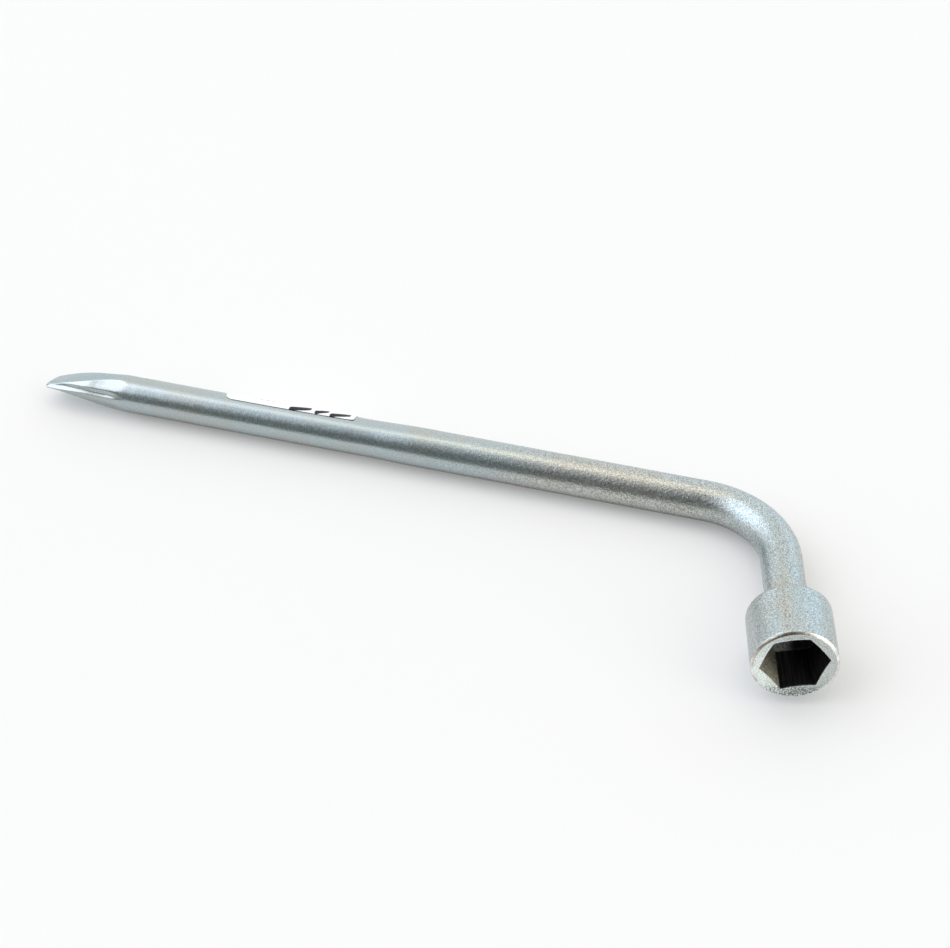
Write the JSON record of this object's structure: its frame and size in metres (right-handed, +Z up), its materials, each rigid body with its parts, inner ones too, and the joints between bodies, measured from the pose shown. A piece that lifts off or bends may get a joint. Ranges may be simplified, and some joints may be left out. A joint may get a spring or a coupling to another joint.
{
  "type": "lug wrench",
  "caption": "L-shaped lug wrench: a bent round steel bar with a pry blade at one end and a hexagon socket for wheel nuts at the other.",
  "frame": {"origin": "centre of the nut socket's mouth, on the socket's axis", "axes": "+X parallel to the straight handle, from the pry blade towards the bend; +Z up as the wrench lies on the ground; the mouth faces -Y, turned 13 degrees to +X and 7.5 degrees up"},
  "size_m": [0.2959, 0.0831, 0.0306],
  "materials": {
    "bar_steel": "satin zinc plate over forged steel, fine grain",
    "socket_steel": "satin zinc plate, grainy outside, dark bare steel inside",
    "weld_steel": "plated weld bead",
    "label_paper": "matt white paper label"
  },
  "bodies": {
    "root": {"handle_bar": "bar_steel", "socket_head": "socket_steel", "weld_ring": "weld_steel", "price_label": "label_paper"}
  },
  "joints": []
}
